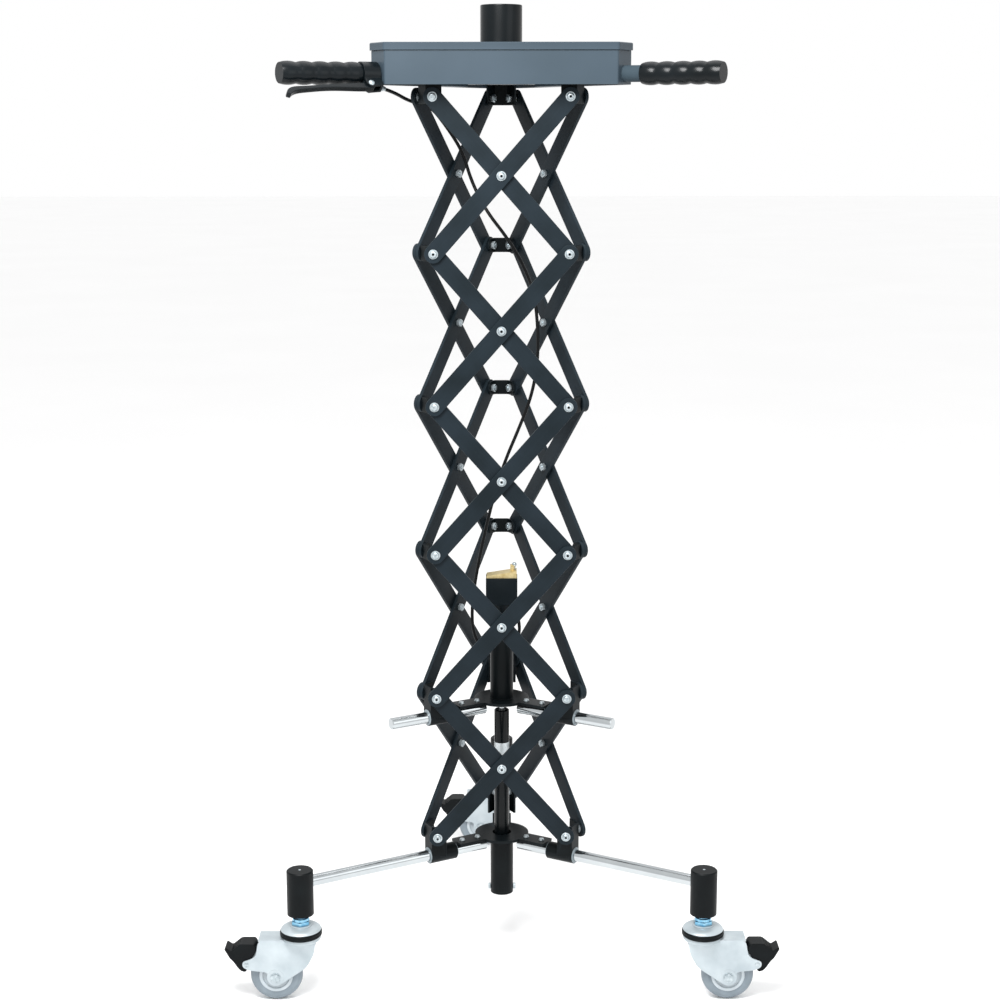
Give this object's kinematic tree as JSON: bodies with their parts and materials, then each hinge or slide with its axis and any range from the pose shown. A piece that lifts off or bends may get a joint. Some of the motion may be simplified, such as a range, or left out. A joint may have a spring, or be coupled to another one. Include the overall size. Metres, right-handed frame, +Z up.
{
  "type": "scissor lift stand",
  "caption": "Three-sided scissor lift stand on braked swivel casters, with a gas spring released by a lever on one of two grips and a round socket on top.",
  "frame": {"origin": "floor level, on the stand's upright axis, raised", "axes": "+Z up; -Y towards the front face, between the two grips; +X to the right seen from the front"},
  "size_m": [0.7914, 0.6459, 1.3911],
  "materials": {
    "black_anodised_bar": "satin black anodised",
    "black_steel": "satin black",
    "zinc_steel": "bright zinc plated",
    "chrome_rod": "polished chrome",
    "yellow_zinc": "yellow passivated",
    "slate_paint": "satin slate grey",
    "black_rubber": "matt",
    "black_plastic": "matt black",
    "grey_tyre": "soft grey"
  },
  "bodies": {
    "base": {"lower_hub": "black_steel", "legs": "chrome_rod"},
    "gas_spring_cylinder": {"gas_spring_cylinder": "black_steel"},
    "lower_screw": {"rear_lower_slider_screw": "zinc_steel"},
    "lower_slider_rear": {"lower_slider_rear": "black_steel"},
    "upper_slider_rear": {"upper_slider_rear": "black_steel"},
    "top_bracket_rear": {"top_bracket_rear": "black_steel"},
    "lower_slider_left": {"lower_slider_left": "black_steel"},
    "upper_slider_left": {"upper_slider_left": "black_steel"},
    "top_bracket_left": {"top_bracket_left": "black_steel"},
    "lower_slider_right": {"lower_slider_right": "black_steel"},
    "upper_slider_right": {"upper_slider_right": "black_steel"},
    "top_bracket_right": {"top_bracket_right": "black_steel"},
    "front_rise_1": {"bar_front_rise_1": "black_anodised_bar"},
    "front_fall_1": {"bar_front_fall_1": "black_anodised_bar"},
    "front_rise_2": {"bar_front_rise_2": "black_anodised_bar"},
    "front_fall_2": {"bar_front_fall_2": "black_anodised_bar"},
    "front_rise_3": {"bar_front_rise_3": "black_anodised_bar"},
    "front_fall_3": {"bar_front_fall_3": "black_anodised_bar"},
    "front_rise_4": {"bar_front_rise_4": "black_anodised_bar"},
    "front_fall_4": {"bar_front_fall_4": "black_anodised_bar"},
    "front_rise_5": {"bar_front_rise_5": "black_anodised_bar"},
    "front_fall_5": {"bar_front_fall_5": "black_anodised_bar"},
    "left_rise_1": {"bar_left_rise_1": "black_anodised_bar"},
    "left_fall_1": {"bar_left_fall_1": "black_anodised_bar"},
    "left_rise_2": {"bar_left_rise_2": "black_anodised_bar"},
    "left_fall_2": {"bar_left_fall_2": "black_anodised_bar"},
    "left_rise_3": {"bar_left_rise_3": "black_anodised_bar"},
    "left_fall_3": {"bar_left_fall_3": "black_anodised_bar"},
    "left_rise_4": {"bar_left_rise_4": "black_anodised_bar"},
    "left_fall_4": {"bar_left_fall_4": "black_anodised_bar"},
    "left_rise_5": {"bar_left_rise_5": "black_anodised_bar"},
    "left_fall_5": {"bar_left_fall_5": "black_anodised_bar"},
    "right_rise_1": {"bar_right_rise_1": "black_anodised_bar"},
    "right_fall_1": {"bar_right_fall_1": "black_anodised_bar"},
    "right_rise_2": {"bar_right_rise_2": "black_anodised_bar"},
    "right_fall_2": {"bar_right_fall_2": "black_anodised_bar"},
    "right_rise_3": {"bar_right_rise_3": "black_anodised_bar"},
    "right_fall_3": {"bar_right_fall_3": "black_anodised_bar"},
    "right_rise_4": {"bar_right_rise_4": "black_anodised_bar"},
    "right_fall_4": {"bar_right_fall_4": "black_anodised_bar"},
    "right_rise_5": {"bar_right_rise_5": "black_anodised_bar"},
    "right_fall_5": {"bar_right_fall_5": "black_anodised_bar"},
    "upper_screw": {"rear_upper_slider_screw": "zinc_steel"},
    "gas_spring_rod": {"gas_spring_rod": "chrome_rod"},
    "upper_hub": {"upper_hub": "black_steel", "brake_cable": "black_plastic"},
    "top": {"top_box": "slate_paint", "handles": "black_rubber"},
    "brake_lever": {"brake_lever": "black_steel"},
    "release_lever": {"release_lever": "yellow_zinc"},
    "caster_fork_rear": {"caster_fork_rear": "zinc_steel"},
    "caster_wheel_rear": {"caster_wheel_rear": "grey_tyre"},
    "caster_pedal_rear": {"caster_pedal_rear": "black_plastic"},
    "caster_fork_left": {"caster_fork_left": "zinc_steel"},
    "caster_wheel_left": {"caster_wheel_left": "grey_tyre"},
    "caster_pedal_left": {"caster_pedal_left": "black_plastic"},
    "caster_fork_right": {"caster_fork_right": "zinc_steel"},
    "caster_wheel_right": {"caster_wheel_right": "grey_tyre"},
    "caster_pedal_right": {"caster_pedal_right": "black_plastic"}
  },
  "joints": [
    {"name": "spring_crank_lower", "type": "hinge", "parent": "base", "child": "gas_spring_cylinder", "pos_m": [0, 0, 0.174], "axis": [0, 0, 1], "range_deg": [-0.05, 33.95]},
    {"name": "screw_crank_lower", "type": "hinge", "parent": "gas_spring_cylinder", "child": "lower_screw", "pos_m": [0.06113, 0.05398, 0.174], "axis": [0, 0, 1], "range_deg": [-67.9, 0.1]},
    {"name": "slider_crank_lower", "type": "hinge", "parent": "lower_screw", "child": "lower_slider_rear", "pos_m": [0, 0.10797, 0.174], "axis": [0, 0, 1], "range_deg": [-0.05, 33.95]},
    {"name": "fold", "type": "hinge", "parent": "lower_slider_rear", "child": "left_rise_1", "pos_m": [-0.02, 0.11951, 0.208], "axis": [0.866, -0.5, 0], "range_deg": [0, 33.9], "deforming": ["brake_cable"]},
    {"name": "cross_left_1", "type": "hinge", "parent": "left_rise_1", "child": "left_fall_1", "pos_m": [-0.06242, 0.03604, 0.31387], "axis": [-0.866, 0.5, 0], "range_deg": [-0.1, 67.9]},
    {"name": "right_low", "type": "hinge", "parent": "lower_slider_rear", "child": "right_fall_1", "pos_m": [0.01567, 0.11701, 0.208], "axis": [0.866, 0.5, 0], "range_deg": [-0.05, 33.95]},
    {"name": "cross_right_1", "type": "hinge", "parent": "right_fall_1", "child": "right_rise_1", "pos_m": [0.06242, 0.03604, 0.31387], "axis": [0.866, 0.5, 0], "range_deg": [-67.9, 0.1]},
    {"name": "slider_left_low", "type": "hinge", "parent": "left_fall_1", "child": "lower_slider_left", "pos_m": [-0.10917, -0.04493, 0.208], "axis": [-0.866, 0.5, 0], "range_deg": [-33.95, 0.05]},
    {"name": "slider_right_low", "type": "hinge", "parent": "right_rise_1", "child": "lower_slider_right", "pos_m": [0.1135, -0.04243, 0.208], "axis": [0.866, 0.5, 0], "range_deg": [-0.05, 33.95]},
    {"name": "front_low", "type": "hinge", "parent": "lower_slider_left", "child": "front_rise_1", "pos_m": [-0.0935, -0.07708, 0.208], "axis": [0, -1, 0], "range_deg": [-33.95, 0.05]},
    {"name": "cross_front_1", "type": "hinge", "parent": "front_rise_1", "child": "front_fall_1", "pos_m": [0, -0.07208, 0.31387], "axis": [0, -1, 0], "range_deg": [-0.1, 67.9]},
    {"name": "front_left_1", "type": "hinge", "parent": "front_fall_1", "child": "front_rise_2", "pos_m": [-0.0935, -0.07708, 0.41975], "axis": [0, -1, 0], "range_deg": [-67.9, 0.1]},
    {"name": "front_right_1", "type": "hinge", "parent": "front_rise_1", "child": "front_fall_2", "pos_m": [0.0935, -0.07208, 0.41975], "axis": [0, -1, 0], "range_deg": [-0.1, 67.9]},
    {"name": "front_left_2", "type": "hinge", "parent": "front_fall_2", "child": "front_rise_3", "pos_m": [-0.0935, -0.07708, 0.6315], "axis": [0, -1, 0], "range_deg": [-67.9, 0.1]},
    {"name": "front_right_2", "type": "hinge", "parent": "front_rise_2", "child": "front_fall_3", "pos_m": [0.0935, -0.07208, 0.6315], "axis": [0, -1, 0], "range_deg": [-0.1, 67.9]},
    {"name": "front_left_3", "type": "hinge", "parent": "front_fall_3", "child": "front_rise_4", "pos_m": [-0.0935, -0.07708, 0.84324], "axis": [0, -1, 0], "range_deg": [-67.9, 0.1]},
    {"name": "front_right_3", "type": "hinge", "parent": "front_rise_3", "child": "front_fall_4", "pos_m": [0.0935, -0.07208, 0.84324], "axis": [0, -1, 0], "range_deg": [-0.1, 67.9]},
    {"name": "front_left_4", "type": "hinge", "parent": "front_fall_4", "child": "front_rise_5", "pos_m": [-0.0935, -0.07708, 1.05499], "axis": [0, -1, 0], "range_deg": [-67.9, 0.1]},
    {"name": "front_right_4", "type": "hinge", "parent": "front_rise_4", "child": "front_fall_5", "pos_m": [0.0935, -0.07208, 1.05499], "axis": [0, -1, 0], "range_deg": [-0.1, 67.9]},
    {"name": "left_left_1", "type": "hinge", "parent": "left_fall_1", "child": "left_rise_2", "pos_m": [-0.02, 0.11951, 0.41975], "axis": [-0.866, 0.5, 0], "range_deg": [-67.9, 0.1]},
    {"name": "left_right_1", "type": "hinge", "parent": "left_rise_1", "child": "left_fall_2", "pos_m": [-0.10917, -0.04493, 0.41975], "axis": [-0.866, 0.5, 0], "range_deg": [-0.1, 67.9]},
    {"name": "left_left_2", "type": "hinge", "parent": "left_fall_2", "child": "left_rise_3", "pos_m": [-0.02, 0.11951, 0.6315], "axis": [-0.866, 0.5, 0], "range_deg": [-67.9, 0.1]},
    {"name": "left_right_2", "type": "hinge", "parent": "left_rise_2", "child": "left_fall_3", "pos_m": [-0.10917, -0.04493, 0.6315], "axis": [-0.866, 0.5, 0], "range_deg": [-0.1, 67.9]},
    {"name": "left_left_3", "type": "hinge", "parent": "left_fall_3", "child": "left_rise_4", "pos_m": [-0.02, 0.11951, 0.84324], "axis": [-0.866, 0.5, 0], "range_deg": [-67.9, 0.1]},
    {"name": "left_right_3", "type": "hinge", "parent": "left_rise_3", "child": "left_fall_4", "pos_m": [-0.10917, -0.04493, 0.84324], "axis": [-0.866, 0.5, 0], "range_deg": [-0.1, 67.9]},
    {"name": "left_left_4", "type": "hinge", "parent": "left_fall_4", "child": "left_rise_5", "pos_m": [-0.02, 0.11951, 1.05499], "axis": [-0.866, 0.5, 0], "range_deg": [-67.9, 0.1]},
    {"name": "left_right_4", "type": "hinge", "parent": "left_rise_4", "child": "left_fall_5", "pos_m": [-0.10917, -0.04493, 1.05499], "axis": [-0.866, 0.5, 0], "range_deg": [-0.1, 67.9]},
    {"name": "right_left_1", "type": "hinge", "parent": "right_fall_1", "child": "right_rise_2", "pos_m": [0.1135, -0.04243, 0.41975], "axis": [0.866, 0.5, 0], "range_deg": [-67.9, 0.1]},
    {"name": "right_right_1", "type": "hinge", "parent": "right_rise_1", "child": "right_fall_2", "pos_m": [0.01567, 0.11701, 0.41975], "axis": [0.866, 0.5, 0], "range_deg": [-0.1, 67.9]},
    {"name": "right_left_2", "type": "hinge", "parent": "right_fall_2", "child": "right_rise_3", "pos_m": [0.1135, -0.04243, 0.6315], "axis": [0.866, 0.5, 0], "range_deg": [-67.9, 0.1]},
    {"name": "right_right_2", "type": "hinge", "parent": "right_rise_2", "child": "right_fall_3", "pos_m": [0.01567, 0.11701, 0.6315], "axis": [0.866, 0.5, 0], "range_deg": [-0.1, 67.9]},
    {"name": "right_left_3", "type": "hinge", "parent": "right_fall_3", "child": "right_rise_4", "pos_m": [0.1135, -0.04243, 0.84324], "axis": [0.866, 0.5, 0], "range_deg": [-67.9, 0.1]},
    {"name": "right_right_3", "type": "hinge", "parent": "right_rise_3", "child": "right_fall_4", "pos_m": [0.01567, 0.11701, 0.84324], "axis": [0.866, 0.5, 0], "range_deg": [-0.1, 67.9]},
    {"name": "right_left_4", "type": "hinge", "parent": "right_fall_4", "child": "right_rise_5", "pos_m": [0.1135, -0.04243, 1.05499], "axis": [0.866, 0.5, 0], "range_deg": [-67.9, 0.1]},
    {"name": "right_right_4", "type": "hinge", "parent": "right_rise_4", "child": "right_fall_5", "pos_m": [0.01567, 0.11701, 1.05499], "axis": [0.866, 0.5, 0], "range_deg": [-0.1, 67.9]},
    {"name": "slider_rear_up", "type": "hinge", "parent": "left_fall_1", "child": "upper_slider_rear", "pos_m": [-0.01567, 0.11701, 0.41975], "axis": [-0.866, 0.5, 0], "range_deg": [-33.95, 0.05]},
    {"name": "slider_left_up", "type": "hinge", "parent": "left_rise_1", "child": "upper_slider_left", "pos_m": [-0.1135, -0.04243, 0.41975], "axis": [-0.866, 0.5, 0], "range_deg": [-0.05, 33.95]},
    {"name": "slider_right_up", "type": "hinge", "parent": "right_fall_1", "child": "upper_slider_right", "pos_m": [0.10917, -0.04493, 0.41975], "axis": [0.866, 0.5, 0], "range_deg": [-33.95, 0.05]},
    {"name": "bracket_rear", "type": "hinge", "parent": "left_fall_5", "child": "top_bracket_rear", "pos_m": [-0.01567, 0.11701, 1.26674], "axis": [-0.866, 0.5, 0], "range_deg": [-33.95, 0.05]},
    {"name": "bracket_left", "type": "hinge", "parent": "left_rise_5", "child": "top_bracket_left", "pos_m": [-0.1135, -0.04243, 1.26674], "axis": [-0.866, 0.5, 0], "range_deg": [-0.05, 33.95]},
    {"name": "bracket_right", "type": "hinge", "parent": "right_fall_5", "child": "top_bracket_right", "pos_m": [0.10917, -0.04493, 1.26674], "axis": [0.866, 0.5, 0], "range_deg": [-33.95, 0.05]},
    {"name": "screw_crank_upper", "type": "hinge", "parent": "upper_slider_rear", "child": "upper_screw", "pos_m": [0, 0.10797, 0.38575], "axis": [0, 0, 1], "range_deg": [-33.95, 0.05]},
    {"name": "spring_crank_upper", "type": "hinge", "parent": "upper_screw", "child": "gas_spring_rod", "pos_m": [0.06113, 0.05398, 0.38575], "axis": [0, 0, 1], "range_deg": [-0.1, 67.9]},
    {"name": "hub_crank_upper", "type": "hinge", "parent": "gas_spring_rod", "child": "upper_hub", "pos_m": [0, 0, 0.38575], "axis": [0, 0, 1], "range_deg": [-33.95, 0.05]},
    {"name": "top_guide", "type": "slide", "parent": "top_bracket_rear", "child": "top", "axis": [0, 1, 0], "range_m": [-0.05033, 0.0005]},
    {"name": "brake_lever_pivot", "type": "hinge", "parent": "top", "child": "brake_lever", "pos_m": [-0.17425, -0.1202, 1.27907], "axis": [-0.3536, 0.6124, -0.7071], "range_deg": [0, 4], "stiffness_Nm_per_rad": 2, "springref_deg": -1.15},
    {"name": "release_lever_pivot", "type": "hinge", "parent": "upper_hub", "child": "release_lever", "pos_m": [-0.017, 0, 0.57525], "axis": [0, 1, 0], "range_deg": [-0.1, 4.1]},
    {"name": "swivel_rear", "type": "hinge", "parent": "base", "child": "caster_fork_rear", "pos_m": [0, 0.42, 0.14], "axis": [0, 0, 1], "continuous": true},
    {"name": "roll_rear", "type": "hinge", "parent": "caster_fork_rear", "child": "caster_wheel_rear", "pos_m": [-0.036, 0.42, 0.0375], "axis": [0, 1, 0], "continuous": true},
    {"name": "brake_pedal_rear", "type": "hinge", "parent": "caster_fork_rear", "child": "caster_pedal_rear", "pos_m": [-0.077, 0.42, 0.057], "axis": [0, -1, 0], "range_deg": [0, 15]},
    {"name": "swivel_left", "type": "hinge", "parent": "base", "child": "caster_fork_left", "pos_m": [-0.28665, -0.1655, 0.14], "axis": [0, 0, 1], "continuous": true},
    {"name": "roll_left", "type": "hinge", "parent": "caster_fork_left", "child": "caster_wheel_left", "pos_m": [-0.32265, -0.1655, 0.0375], "axis": [0, 1, 0], "continuous": true},
    {"name": "brake_pedal_left", "type": "hinge", "parent": "caster_fork_left", "child": "caster_pedal_left", "pos_m": [-0.36365, -0.1655, 0.057], "axis": [0, -1, 0], "range_deg": [0, 15]},
    {"name": "swivel_right", "type": "hinge", "parent": "base", "child": "caster_fork_right", "pos_m": [0.28665, -0.1655, 0.14], "axis": [0, 0, 1], "continuous": true},
    {"name": "roll_right", "type": "hinge", "parent": "caster_fork_right", "child": "caster_wheel_right", "pos_m": [0.32265, -0.1655, 0.0375], "axis": [0, 1, 0], "continuous": true},
    {"name": "brake_pedal_right", "type": "hinge", "parent": "caster_fork_right", "child": "caster_pedal_right", "pos_m": [0.36365, -0.1655, 0.057], "axis": [0, 1, 0], "range_deg": [0, 15]}
  ],
  "couplings": [
    {"joint": "spring_crank_lower", "follows": "fold", "ratio": 1},
    {"joint": "screw_crank_lower", "follows": "fold", "ratio": -2},
    {"joint": "slider_crank_lower", "follows": "fold", "ratio": 1},
    {"joint": "cross_left_1", "follows": "fold", "ratio": 2},
    {"joint": "right_low", "follows": "fold", "ratio": 1},
    {"joint": "cross_right_1", "follows": "fold", "ratio": -2},
    {"joint": "slider_left_low", "follows": "fold", "ratio": -1},
    {"joint": "slider_right_low", "follows": "fold", "ratio": 1},
    {"joint": "front_low", "follows": "fold", "ratio": -1},
    {"joint": "cross_front_1", "follows": "fold", "ratio": 2},
    {"joint": "front_left_1", "follows": "fold", "ratio": -2},
    {"joint": "front_right_1", "follows": "fold", "ratio": 2},
    {"joint": "front_left_2", "follows": "fold", "ratio": -2},
    {"joint": "front_right_2", "follows": "fold", "ratio": 2},
    {"joint": "front_left_3", "follows": "fold", "ratio": -2},
    {"joint": "front_right_3", "follows": "fold", "ratio": 2},
    {"joint": "front_left_4", "follows": "fold", "ratio": -2},
    {"joint": "front_right_4", "follows": "fold", "ratio": 2},
    {"joint": "left_left_1", "follows": "fold", "ratio": -2},
    {"joint": "left_right_1", "follows": "fold", "ratio": 2},
    {"joint": "left_left_2", "follows": "fold", "ratio": -2},
    {"joint": "left_right_2", "follows": "fold", "ratio": 2},
    {"joint": "left_left_3", "follows": "fold", "ratio": -2},
    {"joint": "left_right_3", "follows": "fold", "ratio": 2},
    {"joint": "left_left_4", "follows": "fold", "ratio": -2},
    {"joint": "left_right_4", "follows": "fold", "ratio": 2},
    {"joint": "right_left_1", "follows": "fold", "ratio": -2},
    {"joint": "right_right_1", "follows": "fold", "ratio": 2},
    {"joint": "right_left_2", "follows": "fold", "ratio": -2},
    {"joint": "right_right_2", "follows": "fold", "ratio": 2},
    {"joint": "right_left_3", "follows": "fold", "ratio": -2},
    {"joint": "right_right_3", "follows": "fold", "ratio": 2},
    {"joint": "right_left_4", "follows": "fold", "ratio": -2},
    {"joint": "right_right_4", "follows": "fold", "ratio": 2},
    {"joint": "slider_rear_up", "follows": "fold", "ratio": -1},
    {"joint": "slider_left_up", "follows": "fold", "ratio": 1},
    {"joint": "slider_right_up", "follows": "fold", "ratio": -1},
    {"joint": "bracket_rear", "follows": "fold", "ratio": -1},
    {"joint": "bracket_left", "follows": "fold", "ratio": 1},
    {"joint": "bracket_right", "follows": "fold", "ratio": -1},
    {"joint": "screw_crank_upper", "follows": "fold", "ratio": -1},
    {"joint": "spring_crank_upper", "follows": "fold", "ratio": 2},
    {"joint": "hub_crank_upper", "follows": "fold", "ratio": -1},
    {"joint": "top_guide", "follows": "fold", "m_per_rad": -0.084225},
    {"joint": "release_lever_pivot", "follows": "brake_lever_pivot", "ratio": 1}
  ]
}
